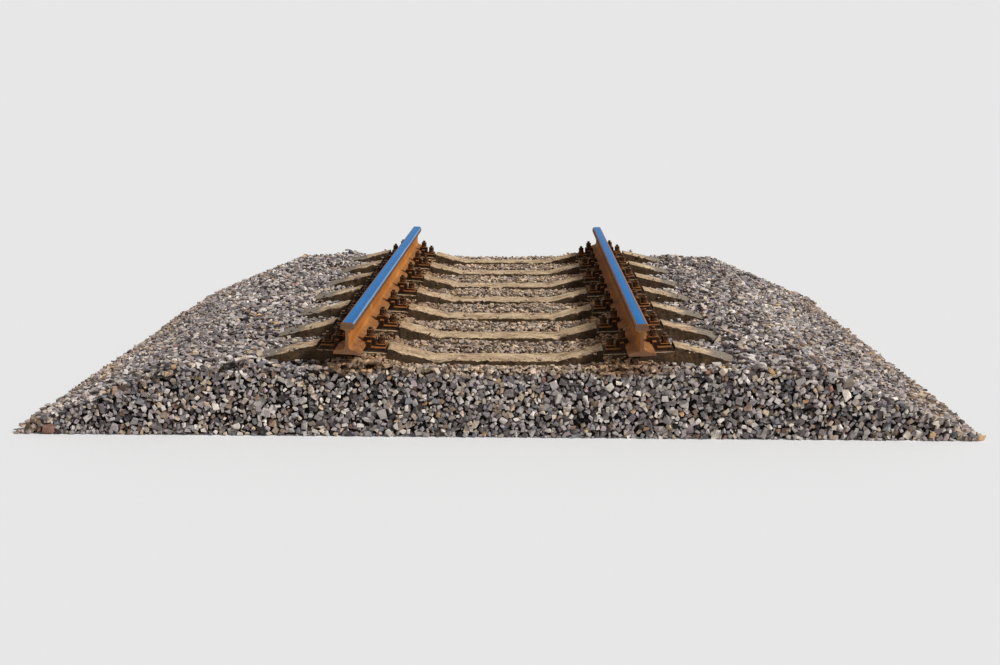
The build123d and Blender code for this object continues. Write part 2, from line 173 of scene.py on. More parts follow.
class Shader:
    """A short way to write a material's nodes. A mask is a value from 0 to 1 over the surface."""

    def __init__(self, name):
        self.material = bpy.data.materials.new(name)
        self.material.use_nodes = True
        self.tree = self.material.node_tree
        self.bsdf = self.tree.nodes["Principled BSDF"]
        self.place = self.node("ShaderNodeTexCoord").outputs["Object"]

    def node(self, kind, **settings):
        made = self.tree.nodes.new(kind)
        for key, value in settings.items():
            setattr(made, key, value)
        return made

    def put(self, socket, value):
        """Links an output to a socket, or sets the socket to a plain value."""
        if isinstance(value, bpy.types.NodeSocket):
            self.tree.links.new(value, socket)
        else:
            socket.default_value = value

    def noise(self, scale, detail=4.0, roughness=0.55, stretch=None):
        """Noise from 0 to 1. A stretch below 1 draws it out along that axis."""
        made = self.node("ShaderNodeTexNoise")
        made.inputs["Scale"].default_value = scale
        made.inputs["Detail"].default_value = detail
        made.inputs["Roughness"].default_value = roughness
        place = self.place
        if stretch:
            scaled = self.node("ShaderNodeVectorMath", operation="MULTIPLY")
            self.put(scaled.inputs[0], place)
            scaled.inputs[1].default_value = stretch
            place = scaled.outputs[0]
        self.put(made.inputs["Vector"], place)
        return made.outputs["Fac"]

    def calc(self, operation, a, b=0.0):
        made = self.node("ShaderNodeMath", operation=operation)
        self.put(made.inputs[0], a)
        self.put(made.inputs[1], b)
        return made.outputs[0]

    def plus(self, a, b):
        return self.calc("ADD", a, b)

    def minus(self, a, b):
        return self.calc("SUBTRACT", a, b)

    def times(self, a, b):
        return self.calc("MULTIPLY", a, b)

    def opposite(self, mask):
        """1 where the mask is 0, and 0 where it is 1."""
        return self.minus(1.0, mask)

    def ragged(self, value, amount, *noise):
        """A value with noise added, so that steps and bands in it get ragged edges."""
        return self.plus(value, self.times(self.noise(*noise), amount))

    def step(self, value, low, high):
        """0 below low, 1 above high, smooth between them."""
        made = self.node("ShaderNodeMapRange", interpolation_type="SMOOTHSTEP")
        self.put(made.inputs["Value"], value)
        made.inputs["From Min"].default_value = low
        made.inputs["From Max"].default_value = high
        return made.outputs["Result"]

    def band(self, value, middle, half, soft):
        """1 within half of the middle, fading to 0 over soft."""
        off = self.calc("ABSOLUTE", self.minus(value, middle))
        return self.opposite(self.step(off, half, half + soft))

    def ramp(self, value, stops, interpolation="LINEAR"):
        """A colour that changes with a value, from stops of (value, colour)."""
        made = self.node("ShaderNodeValToRGB")
        made.color_ramp.interpolation = interpolation
        elements = made.color_ramp.elements
        while len(elements) < len(stops):
            elements.new(0.5)
        for element, (position, colour) in zip(elements, stops):
            element.position = position
            element.color = colour
        self.put(made.inputs["Fac"], value)
        return made.outputs["Color"]

    def mix(self, share, first, second, blend="MIX"):
        """The first colour where the share is 0, and the second, or their blend, where it is 1."""
        made = self.node("ShaderNodeMix", data_type="RGBA", blend_type=blend)
        self.put(made.inputs["Factor"], share)
        self.put(made.inputs[6], first)
        self.put(made.inputs[7], second)
        return made.outputs[2]

    def cover(self, colour, over, mask, strength):
        """Lays one colour over another where the mask is 1, at a strength."""
        return self.mix(self.times(mask, strength), colour, over)

    def shaded(self, colour, shade):
        """A colour made darker or lighter by another."""
        return self.mix(1.0, colour, shade, "MULTIPLY")

    def split(self, vector):
        made = self.node("ShaderNodeSeparateXYZ")
        self.put(made.inputs[0], vector)
        return made.outputs

    def along(self, axis):
        """The place along one axis of the part."""
        return self.split(self.place)[axis]

    def off_centre(self):
        """The distance from the plane midway between the rails."""
        return self.calc("ABSOLUTE", self.along("X"))

    def facing(self, axis):
        """How far the surface faces along an axis, from -1 to 1."""
        return self.split(self.node("ShaderNodeNewGeometry").outputs["Normal"])[axis]

    def edge_flatness(self, radius):
        """1 on a flat face, less within radius of an edge."""
        rounded = self.node("ShaderNodeBevel", samples=4)
        rounded.inputs["Radius"].default_value = radius
        made = self.node("ShaderNodeVectorMath", operation="DOT_PRODUCT")
        self.put(made.inputs[0], rounded.outputs["Normal"])
        self.put(made.inputs[1], self.node("ShaderNodeNewGeometry").outputs["Normal"])
        return made.outputs["Value"]

    def bump(self, height, distance, strength):
        """Gives the surface a fine relief, distance deep."""
        made = self.node("ShaderNodeBump")
        made.inputs["Strength"].default_value = strength
        made.inputs["Distance"].default_value = distance
        self.put(made.inputs["Height"], height)
        self.put(self.bsdf.inputs["Normal"], made.outputs["Normal"])

    def finish(self, colour, roughness, metallic=0.0, specular=0.2):
        """Fills the shader's own sockets and returns the material."""
        self.bsdf.inputs["Specular IOR Level"].default_value = specular
        self.put(self.bsdf.inputs["Base Color"], colour)
        self.put(self.bsdf.inputs["Roughness"], roughness)
        self.put(self.bsdf.inputs["Metallic"], metallic)
        return self.material


def grey(level):
    """A grey that multiplies a colour by this much."""
    return (level, level, level, 1)


# Materials

def stone_material():
    """Crushed stone: each has its own colour, dust lies between the rails and soil at the toe."""
    s = Shader("ballast_stone")
    own = s.node("ShaderNodeAttribute", attribute_name=STONE_LAYER)
    parts = s.node("ShaderNodeSeparateColor")
    s.put(parts.inputs[0], own.outputs["Color"])
    pick, bright = parts.outputs["Red"], parts.outputs["Green"]
    colour = s.ramp(pick, [
        (0.000, srgb(66, 60, 60)),
        (0.080, srgb(112, 104, 105)),
        (0.180, srgb(152, 144, 143)),
        (0.320, srgb(188, 180, 177)),
        (0.470, srgb(166, 153, 155)),
        (0.580, srgb(214, 206, 200)),
        (0.690, srgb(138, 137, 142)),
        (0.760, srgb(192, 177, 160)),
        (0.850, srgb(200, 180, 154)),
        (0.890, srgb(230, 221, 208)),
        (0.945, srgb(146, 122, 103)),
        (0.985, srgb(158, 116, 100)),
        (0.992, srgb(206, 168, 124)),
    ], "CONSTANT")
    veins = s.step(s.noise(38.0, 5.0, 0.65), 0.50, 0.62)
    colour = s.cover(colour, srgb(206, 198, 190), veins, 0.3)
    colour = dusty_between_rails(s, colour, bright)
    toe = s.step(s.ragged(s.off_centre(), 0.9, 2.5), 2.75, 3.15)
    colour = s.cover(colour, srgb(186, 154, 116), toe, s.times(bright, 0.5))
    areas = s.ramp(s.noise(1.6, 3.0), [(0.38, (0.97, 0.95, 0.94, 1)), (0.62, (1.17, 1.15, 1.13, 1))])
    colour = s.shaded(colour, areas)
    grain = s.ramp(s.noise(90.0, 6.0, 0.7), [(0.3, grey(0.7)), (0.7, grey(1.12))])
    colour = s.shaded(colour, grain)
    shade = s.ramp(bright, [(0.0, (0.54, 0.54, 0.55, 1)), (1.0, (1.30, 1.29, 1.28, 1))])
    colour = s.shaded(colour, shade)
    s.bump(s.noise(150.0, 5.0, 0.7), 0.003, 0.7)
    return s.finish(colour, 0.88)


def dusty_between_rails(s, colour, bright):
    """Lays tan dust over a colour between the rails, and rust dust close to them."""
    x = s.off_centre()
    inside = s.opposite(s.step(s.ragged(x, 0.4, 4.0), 0.92, 1.15))
    near_top = s.step(s.ragged(s.along("Z"), 0.06, 9.0), 0.375, 0.42)
    amount = s.plus(0.26, s.times(bright, 0.45))
    dust = s.mix(s.noise(7.0), srgb(158, 126, 94), srgb(232, 202, 162))
    colour = s.cover(colour, dust, s.times(inside, near_top), amount)
    beside_rail = s.band(x, RAIL_X - 0.06, 0.08, 0.26)
    rust = s.mix(s.step(s.noise(26.0), 0.35, 0.65), srgb(96, 64, 38), srgb(196, 148, 94))
    return s.cover(colour, rust, s.times(beside_rail, near_top), 0.6)


def core_material():
    """Painted shade in the gaps between stones, and between the rails trodden dust and broken stone,
    whose darkest speckles are painted shade too.
    """
    s = Shader("ballast_core")
    speckle = s.noise(210.0, 6.0, 0.75)
    # Near-black colour for the body seen between the stones: painted shade.
    dark = s.ramp(s.noise(120.0, 8.0, 0.8), [(0.35, srgb(26, 23, 21)), (0.7, srgb(74, 67, 61))])
    grit = s.ramp(speckle, [
        (0.32, srgb(28, 21, 15)),
        (0.46, srgb(76, 59, 44)),
        (0.58, srgb(122, 98, 74)),
        (0.70, srgb(188, 166, 138)),
    ])
    patches = s.ramp(s.noise(6.0, 4.0), [(0.35, (0.6, 0.57, 0.54, 1)), (0.65, (1.1, 1.08, 1.05, 1))])
    grit = s.shaded(grit, patches)
    inside = s.opposite(s.step(s.ragged(s.off_centre(), 0.3, 7.0), 0.95, 1.15))
    trodden = s.times(inside, s.step(s.along("Z"), 0.335, 0.350))
    s.bump(s.plus(speckle, s.noise(70.0, 6.0, 0.7)), 0.008, 1.0)
    return s.finish(s.mix(trodden, dark, grit), 0.96)


def concrete_material():
    """Old concrete: dusty tan on top, dark at the sides with moss and painted shade, grey at the ends.
    """
    s = Shader("sleeper_concrete")
    x = s.off_centre()
    colour = s.ramp(s.noise(8.0, 8.0, 0.68, (1.0, 1.6, 1.0)), [
        (0.32, srgb(132, 106, 80)),
        (0.44, srgb(184, 156, 124)),
        (0.58, srgb(210, 184, 149)),
        (0.72, srgb(226, 206, 176)),
    ])
    end = s.step(s.ragged(x, 0.24, 13.0, 7.0, 0.7, (0.8, 2.6, 1.0)), 1.300, 1.345)
    bare = s.mix(s.noise(30.0, 7.0, 0.75, (0.4, 2.2, 1.0)), srgb(90, 80, 71), srgb(174, 160, 142))
    colour = s.mix(end, colour, bare)
    beside_rail = s.band(x, RAIL_X - 0.04, 0.17, 0.19)
    stained = s.times(beside_rail, s.step(s.noise(16.0, 6.0, 0.7), 0.35, 0.65))
    colour = s.cover(colour, srgb(146, 104, 62), stained, 0.5)
    streaks = s.step(s.noise(17.0, 8.0, 0.75, (0.5, 2.0, 1.0)), 0.52, 0.60)
    colour = s.cover(colour, srgb(98, 80, 64), streaks, 0.6)
    # Small pits, painted dark as the shade inside them, and sunk by the bump below.
    pits = s.step(s.noise(80.0, 3.0, 0.5, (0.6, 1.3, 1.0)), 0.60, 0.66)
    colour = s.cover(colour, srgb(48, 37, 27), pits, 0.75)
    # The sides are painted dark by how far they face up: partly moss and dirt, partly painted shade.
    side = s.opposite(s.step(s.ragged(s.facing("Z"), 0.3, 45.0), 0.75, 1.0))
    moss_and_painted_shade = s.ramp(s.noise(24.0, 7.0, 0.7), [
        (0.32, srgb(18, 12, 6)),
        (0.50, srgb(52, 35, 18)),
        (0.66, srgb(80, 57, 31)),
        (0.80, srgb(128, 98, 62)),
    ])
    colour = s.cover(colour, moss_and_painted_shade, side, 0.94)
    colour = paint_mark(s, colour)
    s.bump(s.plus(s.noise(60.0, 8.0, 0.75), s.times(pits, -0.8)), 0.004, 0.9)
    return s.finish(colour, 0.9)


def paint_mark(s, colour):
    """A dab of white paint on one sleeper, outside the left rail."""
    middle_x, half_x = -1.14, 0.055
    middle_y, half_y = sleeper_ys[2] + 0.055, 0.022
    off_x = s.calc("DIVIDE", s.minus(s.along("X"), middle_x), half_x)
    off_y = s.calc("DIVIDE", s.minus(s.along("Y"), middle_y), half_y)
    far = s.plus(s.times(off_x, off_x), s.times(off_y, off_y))
    dab = s.opposite(s.step(s.ragged(far, 1.2, 60.0, 5.0, 0.7), 1.3, 1.6))
    return s.mix(dab, colour, srgb(226, 224, 218))


def rail_place(s):
    """Places in a rail's own tilted section: outwards from its middle, and up from its seat."""
    tilt = math.atan(SEAT_SLOPE)
    across = s.minus(s.off_centre(), RAIL_X)
    above = s.minus(s.along("Z"), SLEEPER_BOTTOM + SEAT_HEIGHT)
    out = s.plus(s.times(across, math.cos(tilt)), s.times(above, math.sin(tilt)))
    up = s.minus(s.times(above, math.cos(tilt)), s.times(across, math.sin(tilt)))
    return out, up


def rail_material():
    """Rolled steel: rusty, with a bright band that wheels keep polished along the head, its blue a
    painted sky reflection.
    """
    s = Shader("rail_steel")
    out, up = rail_place(s)
    wobble = s.times(s.minus(s.noise(30.0, 4.0, 0.6, (1.0, 0.3, 1.0)), 0.5), 0.005)
    wavy_out, wavy_up = s.plus(out, wobble), s.plus(up, wobble)
    colour = rail_rust(s, up)
    colour = head_sides(s, colour, up, wavy_up)
    colour = yellow_strokes(s, colour, up)
    ends = s.step(s.calc("ABSOLUTE", s.facing("Y")), 0.6, 0.9)
    sawn = s.ramp(s.noise(40.0, 6.0, 0.7, (1.0, 1.0, 9.0)), [
        (0.3, srgb(92, 66, 48)),
        (0.7, srgb(140, 104, 78)),
    ])
    colour = s.cover(colour, sawn, ends, 0.85)
    worn = s.times(polished_band(s, wavy_out, wavy_up), s.opposite(ends))
    lines = s.noise(22.0, 5.0, 0.6, (14.0, 0.12, 1.0))
    colour = s.mix(worn, colour, polished_steel_painted_sky(s, out, lines))
    dull = s.opposite(worn)
    band_roughness = s.plus(0.2, s.times(lines, 0.18))
    roughness = s.plus(s.times(worn, band_roughness), s.times(dull, 0.84))
    s.bump(s.times(s.noise(170.0, 6.0, 0.7), dull), 0.0015, 0.7)
    # A blue edge tint on the band's gloss, part of the painted sky reflection.
    s.bsdf.inputs["Specular Tint"].default_value = srgb(118, 182, 246)
    return s.finish(colour, roughness, s.times(worn, 0.85))


def rail_rust(s, up):
    """Orange rust on the web, with darker runs in it and dirt lying on the foot."""
    soft = s.noise(5.0, 5.0, 0.6, (1.0, 0.35, 1.0))
    rust = s.ramp(soft, [(0.3, srgb(158, 94, 36)), (0.5, srgb(180, 112, 44)), (0.7, srgb(198, 132, 58))])
    runs = s.step(s.noise(9.0, 6.0, 0.65, (1.0, 6.0, 0.6)), 0.55, 0.75)
    rust = s.cover(rust, srgb(120, 68, 34), runs, 0.35)
    fine = s.ramp(s.noise(230.0, 6.0, 0.7), [(0.3, grey(0.8)), (0.7, grey(1.1))])
    rust = s.shaded(rust, fine)
    foot = s.opposite(s.step(s.plus(up, s.times(soft, 0.02)), 0.066, 0.082))
    dirt = s.ramp(s.noise(26.0, 7.0, 0.7), [(0.35, srgb(88, 58, 36)), (0.65, srgb(156, 112, 72))])
    return s.cover(rust, dirt, foot, 0.7)


def head_sides(s, colour, up, wavy_up):
    """Grease on the head's sides, with a bright lip below and a dark line under the polished band."""
    head = s.step(up, HEAD_LOWEST - 0.001, HEAD_LOWEST + 0.001)
    grease = s.mix(s.noise(40.0, 5.0, 0.6, (1.0, 0.15, 1.0)), srgb(60, 46, 36), srgb(104, 78, 56))
    colour = s.cover(colour, grease, head, 0.8)
    top = s.step(wavy_up, WORN_BOTTOM - 0.002, WORN_BOTTOM)
    colour = s.cover(colour, srgb(164, 114, 80), top, 0.8)
    lip = s.band(up, HEAD_LOWEST + 0.003, 0.003, 0.002)
    colour = s.cover(colour, srgb(226, 152, 70), lip, 0.9)
    gauge_line = s.band(wavy_up, WORN_BOTTOM - 0.0025, 0.0022, 0.0008)
    return s.cover(colour, srgb(58, 47, 38), gauge_line, 0.85)


def polished_band(s, wavy_out, wavy_up):
    """The mask of the polished band. Its inner corner is unworn on the right rail."""
    over = s.step(wavy_up, WORN_BOTTOM - 0.0008, WORN_BOTTOM + 0.0008)
    beyond = s.step(wavy_out, WORN_OUTER - 0.0015, WORN_OUTER + 0.0015)
    inner_corner = s.opposite(s.step(wavy_out, WORN_INNER - 0.001, WORN_INNER + 0.001))
    right_rail = s.step(s.along("X"), -0.1, 0.1)
    return s.times(s.times(over, s.opposite(beyond)), s.opposite(s.times(inner_corner, right_rail)))


def polished_steel_painted_sky(s, out, lines):
    """Painted sky reflection: steely blue with lines along the rail, and palest at its inner edge, where
    a painted highlight lies.
    """
    across = s.plus(out, s.times(s.minus(lines, 0.5), 0.012))
    # Blue across the band is the painted reflection of a sky; the pale stops at the inner edge are a
    # painted highlight.
    steel = s.ramp(s.times(s.plus(across, BAND_INNER), 1 / BAND_WIDTH), [
        (0.00, srgb(206, 216, 230)),
        (0.08, srgb(160, 184, 214)),
        (0.15, srgb(92, 116, 150)),
        (0.26, srgb(112, 134, 168)),
        (0.37, srgb(86, 138, 184)),
        (0.72, srgb(96, 148, 192)),
        (0.86, srgb(110, 130, 158)),
        (1.00, srgb(132, 126, 140)),
    ])
    patches = s.ramp(s.noise(3.0, 4.0, 0.6, (1.0, 0.5, 1.0)), [
        (0.35, (0.82, 0.84, 0.88, 1)),
        (0.65, (1.06, 1.04, 1.02, 1)),
    ])
    return s.shaded(steel, patches)


def yellow_strokes(s, colour, up):
    """Three thin strokes of yellow paint, brushed up the left rail's web."""
    web = s.band(up, 0.119, 0.040, 0.004)
    left = s.step(s.times(s.along("X"), -1.0), RAIL_X - 0.1, RAIL_X - 0.09)
    inner = s.opposite(s.step(s.off_centre(), RAIL_X - 0.006, RAIL_X - 0.004))
    patchy = s.step(s.noise(55.0, 5.0, 0.7, (1.0, 1.0, 0.3)), 0.36, 0.52)
    mask = s.times(s.times(web, left), s.times(inner, patchy))
    for y, half in ((-1.052, 0.0035), (-1.026, 0.002), (-1.006, 0.0045)):
        stroke = s.times(mask, s.band(s.along("Y"), y, half, 0.001))
        colour = s.cover(colour, srgb(232, 196, 118), stroke, 0.8)
    return colour


def dust_and_painted_top_light(s, colour, dust, strength, scale, low, high):
    """Lays dust in patches on what faces up, and with it painted light on those tops."""
    patches = s.step(s.noise(scale, 5.0, 0.7), low, high)
    return s.cover(colour, dust, s.times(s.step(s.facing("Z"), 0.45, 0.9), patches), strength)


def worn_edges_and_painted_highlight(s, colour, rubbed_and_highlight, strength, radius):
    """Shows a lighter colour along the edges: partly rubbed wear, partly painted highlight."""
    edge = s.opposite(s.step(s.edge_flatness(radius), 0.90, 0.985))
    return s.cover(colour, rubbed_and_highlight, edge, strength)


def iron_material(name, dark, light, dust):
    """Rusted forgings: nearly black away from their tops, with orange dust and painted light where they
    face up.
    """
    s = Shader(name)
    colour = s.mix(s.step(s.noise(38.0, 6.0, 0.65), 0.35, 0.65), dark, light)
    flakes = s.step(s.noise(95.0, 6.0, 0.7), 0.55, 0.66)
    colour = s.cover(colour, srgb(112, 68, 34), flakes, 0.3)
    colour = dust_and_painted_top_light(s, colour, dust, 0.8, 60.0, 0.28, 0.58)
    colour = worn_edges_and_painted_highlight(s, colour, srgb(166, 108, 58), 0.45, 0.0025)
    s.bump(s.noise(240.0, 6.0, 0.7), 0.0014, 0.8)
    return s.finish(colour, 0.8)


def bolt_material():
    """Bolts, greyer than the clips, with the look of a screw thread: its relief as bump and painted
    shade in its grooves.
    """
    s = Shader("bolt_iron")
    colour = s.mix(s.noise(45.0, 6.0, 0.65), srgb(22, 13, 8), srgb(74, 50, 31))
    colour = dust_and_painted_top_light(s, colour, srgb(150, 116, 82), 0.75, 80.0, 0.3, 0.6)
    colour = worn_edges_and_painted_highlight(s, colour, srgb(158, 118, 80), 0.5, 0.002)
    up = rail_place(s)[1]
    # Dark rings along the bolt: painted shade in the thread's grooves.
    turns = s.calc("SINE", s.times(up, 2 * math.pi / THREAD_PITCH))
    colour = s.cover(colour, srgb(30, 22, 17), s.step(turns, 0.2, 0.9), 0.25)
    s.bump(s.plus(s.times(turns, 0.4), s.noise(240.0, 6.0, 0.7)), 0.001, 0.8)
    return s.finish(colour, 0.72)


def nut_material():
    """Nuts and washers: as the bolts, without thread."""
    s = Shader("nut_iron")
    colour = s.mix(s.noise(45.0, 6.0, 0.65), srgb(22, 13, 7), srgb(74, 46, 26))
    colour = dust_and_painted_top_light(s, colour, srgb(170, 122, 76), 0.8, 70.0, 0.3, 0.6)
    colour = worn_edges_and_painted_highlight(s, colour, srgb(168, 124, 82), 0.55, 0.002)
    s.bump(s.noise(240.0, 6.0, 0.7), 0.0012, 0.8)
    return s.finish(colour, 0.74)


def rubber_material():
    """Black pads, greyed by dust."""
    s = Shader("pad_rubber")
    colour = s.mix(s.noise(60.0, 5.0, 0.6), srgb(28, 26, 24), srgb(84, 70, 56))
    s.bump(s.noise(200.0, 5.0, 0.6), 0.0008, 0.6)
    return s.finish(colour, 0.75)


# Meshes

def mesh_object(name, points, triangles, material):
    """A mesh object from arrays of points and triangles, riding on the part."""
    data = bpy.data.meshes.new(name)
    data.vertices.add(len(points))
    data.vertices.foreach_set("co", np.asarray(points, np.float32).ravel())
    data.loops.add(3 * len(triangles))
    data.loops.foreach_set("vertex_index", np.asarray(triangles, np.int32).ravel())
    data.polygons.add(len(triangles))
    data.polygons.foreach_set("loop_start", np.arange(0, 3 * len(triangles), 3, dtype=np.int32))
    data.update(calc_edges=True)
    data.shade_flat()
    data.materials.append(material)
    made = bpy.data.objects.new(name, data)
    bpy.context.scene.collection.objects.link(made)
    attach(made, "root")
    return made


def unevenness(u, v, spacing, amount):
    """Gentle random ups and downs over the places u, v, about spacing apart."""
    reach = 4
    count = int(2 * reach / spacing) + 3
    grid = rng.normal(size=(count, count)) * amount
    i, a = np.divmod((u + reach) / spacing, 1)
    j, b = np.divmod((v + reach) / spacing, 1)
    i, j = i.astype(int), j.astype(int)
    a, b = a * a * (3 - 2 * a), b * b * (3 - 2 * b)
    near = grid[i, j] * (1 - a) + grid[i + 1, j] * a
    far = grid[i, j + 1] * (1 - a) + grid[i + 1, j + 1] * a
    return near * (1 - b) + far * b


def sheet_triangles(rows, columns):
    """Triangles over a grid of rows by columns points, facing up."""
    i, j = np.meshgrid(np.arange(rows - 1), np.arange(columns - 1), indexing="ij")
    a = (i * columns + j).ravel()
    b, c, d = a + columns, a + columns + 1, a + 1
    return np.concatenate([np.stack([a, b, c], 1), np.stack([a, c, d], 1)])


# Sleepers

def sleeper_top(x):
    """Height of a sleeper's top above its underside, across the track."""
    rise = SEAT_HALF * SEAT_SLOPE
    inner, outer = SEAT_X - SEAT_HALF, SEAT_X + SEAT_HALF
    knots = [
        (0.0, WAIST_HEIGHT),
        (WAIST_HALF, WAIST_HEIGHT),
        (inner - STOP_WIDTH, SEAT_HEIGHT + STOP_HEIGHT - rise),
        (inner - STOP_EDGE, SEAT_HEIGHT + STOP_HEIGHT - rise),
        (inner, SEAT_HEIGHT - rise),
        (outer, SEAT_HEIGHT + rise),
        (outer + STOP_EDGE, SEAT_HEIGHT + STOP_HEIGHT + rise),
        (outer + STOP_WIDTH, SEAT_HEIGHT + STOP_HEIGHT + rise),
        (SLEEPER_HALF, END_HEIGHT),
    ]
    return np.interp(np.abs(x), [k[0] for k in knots], [k[1] for k in knots])


def sleeper_base_half(x):
    """Half the width of a sleeper's underside, across the track."""
    seat_start = SEAT_X - SEAT_HALF - STOP_WIDTH
    return np.interp(np.abs(x), [WAIST_HALF, seat_start], [WAIST_BASE_HALF, SEAT_BASE_HALF])


def wander(count, spacing):
    """Random values that change smoothly along a sleeper, spacing apart."""
    knots = max(4, int(2 * SLEEPER_HALF / spacing) + 2)
    return np.interp(np.linspace(0, knots - 1, count), np.arange(knots), rng.normal(size=knots))


def sleeper_stations():
    """Places along a sleeper: even steps, with close pairs at the seat stops."""
    steps = list(np.arange(-SLEEPER_HALF, SLEEPER_HALF + 0.001, 0.0125))
    for side in (-1, 1):
        for edge in (SEAT_X - SEAT_HALF, SEAT_X + SEAT_HALF):
            steps += [side * (edge - STOP_EDGE), side * edge, side * (edge + STOP_EDGE)]
    return np.unique(np.round(steps, 5))


def worn_edge(xs, on_seat):
    """How far one top edge has worn away, with chips knocked out of it."""
    count, chips = len(xs), 14
    wear = 0.003 + 0.0025 * np.abs(wander(count, 0.03)) + 0.001 * np.abs(wander(count, 0.2))
    for _ in range(chips):
        centre = rng.uniform(-SLEEPER_HALF, SLEEPER_HALF)
        depth = rng.uniform(0.003, 0.014)
        half = rng.uniform(0.008, 0.030)
        wear += depth * np.exp(-((xs - centre) / half) ** 6)
    return np.where(on_seat, 0.004, wear)


def sleeper_piece(name, y, material):
    """One sleeper with worn, chipped edges and a rough top."""
    xs = sleeper_stations()
    top = sleeper_top(xs)
    on_seat = np.abs(np.abs(xs) - SEAT_X) < SEAT_HALF + STOP_WIDTH * 0.6
    loose = np.where(on_seat, 0.0, 1.0)
    mid_side = 0.09
    rows = []
    for side in (-1, 1):
        base = sleeper_base_half(xs)
        edge_y = base - SIDE_LEAN * top
        r = worn_edge(xs, on_seat)
        # Places across the sleeper and heights, from the underside over the worn edge to the middle
        column = [
            (base, np.zeros_like(xs)),
            (base - SIDE_LEAN * mid_side, np.full_like(xs, mid_side)),
            (base - SIDE_LEAN * (top - 2.6 * r), top - 2.6 * r),
            (edge_y + SIDE_LEAN * r - 0.001, top - 1.1 * r),
            (edge_y - 0.35 * r, top - 0.40 * r),
            (edge_y - 1.1 * r, top - 0.08 * r),
            (edge_y - r - 0.018, top),
            (edge_y * 0.5, top),
            (edge_y * 0.2, top),
        ]
        if side == 1:
            column = column[::-1]
        rows += [(-side * np.asarray(a), b) for a, b in column]
    ys = np.array([a for a, b in rows])
    zs = np.array([b for a, b in rows])
    sag = unevenness(*np.broadcast_arrays(xs, ys + y), 0.09, 0.0014)
    zs[2:-2] += (sag[2:-2] + 0.0008 * rng.normal(size=zs[2:-2].shape)) * loose - 0.0012 * loose
    ys[1:-1] += 0.0012 * rng.normal(size=ys[1:-1].shape)
    count, ring = len(xs), len(rows)
    points = np.stack([np.broadcast_to(xs, ys.shape), ys + y, zs + SLEEPER_BOTTOM], axis=-1)
    points = points.transpose(1, 0, 2).reshape(-1, 3)
    i, j = np.meshgrid(np.arange(count - 1), np.arange(ring), indexing="ij")
    a = (i * ring + j).ravel()
    b = (i * ring + (j + 1) % ring).ravel()
    c, d = b + ring, a + ring
    fan = np.array([(0, k + 1, k) for k in range(1, ring - 1)])
    triangles = np.concatenate([
        np.stack([a, b, c], 1),
        np.stack([a, c, d], 1),
        fan,
        (fan + (count - 1) * ring)[:, ::-1],
    ])
    made = mesh_object(f"{name}_weathered", points, triangles, material)
    made.data.shade_smooth()
    made.data.set_sharp_from_angle(angle=math.radians(38))
    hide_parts(name)
    return made


# Loose stones

def stone_shapes(count):
    """Broken, rather flat stones about two units long, as (points, triangles)."""
    corners = np.array([(x, y, z) for x in (-1, 1) for y in (-1, 1) for z in (-1, 1)], float)
    shapes = []
    for _ in range(count):
        points = corners[rng.permutation(8)[:rng.integers(6, 9)]]
        points = points * rng.uniform(0.35, 1.0, points.shape)
        points = np.concatenate([points, rng.uniform(-1, 1, (1, 3))])
        points *= (1.0, rng.uniform(0.55, 0.90), rng.uniform(0.36, 0.66))
        hull = bmesh.new()
        for p in points:
            hull.verts.new(p)
        bmesh.ops.convex_hull(hull, input=hull.verts)
        loose = [v for v in hull.verts if not v.link_faces]
        bmesh.ops.delete(hull, geom=loose, context="VERTS")
        bmesh.ops.triangulate(hull, faces=hull.faces)
        hull.verts.index_update()
        shapes.append((
            np.array([v.co for v in hull.verts]),
            np.array([[v.index for v in f.verts] for f in hull.faces]),
        ))
        hull.free()
    return shapes


SHAPES = stone_shapes(KINDS_OF_STONE)


def turned(tilt):
    """A random turn about Z, then a tip of about tilt over a level axis."""
    yaw = rng.uniform(0, 2 * math.pi)
    tip = rng.normal() * tilt
    across = rng.uniform(0, 2 * math.pi)
    k = (math.cos(across), math.sin(across), 0.0)
    cross = np.array([[0, 0, k[1]], [0, 0, -k[0]], [-k[1], k[0], 0]])
    tipped = np.eye(3) + math.sin(tip) * cross + (1 - math.cos(tip)) * cross @ cross
    c, s = math.cos(yaw), math.sin(yaw)
    return tipped @ np.array([[c, -s, 0], [s, c, 0], [0, 0, 1]])


domes = {}


def dome(rows, columns):
    """The rounded top of a stone over a patch of the height map, 1 in the middle."""
    if (rows, columns) not in domes:
        u = (np.arange(rows) + 0.5) / rows * 2 - 1
        v = (np.arange(columns) + 0.5) / columns * 2 - 1
        domes[rows, columns] = np.sqrt(np.maximum(0, 1 - u[:, None] ** 2 - v[None, :] ** 2))
    return domes[rows, columns]


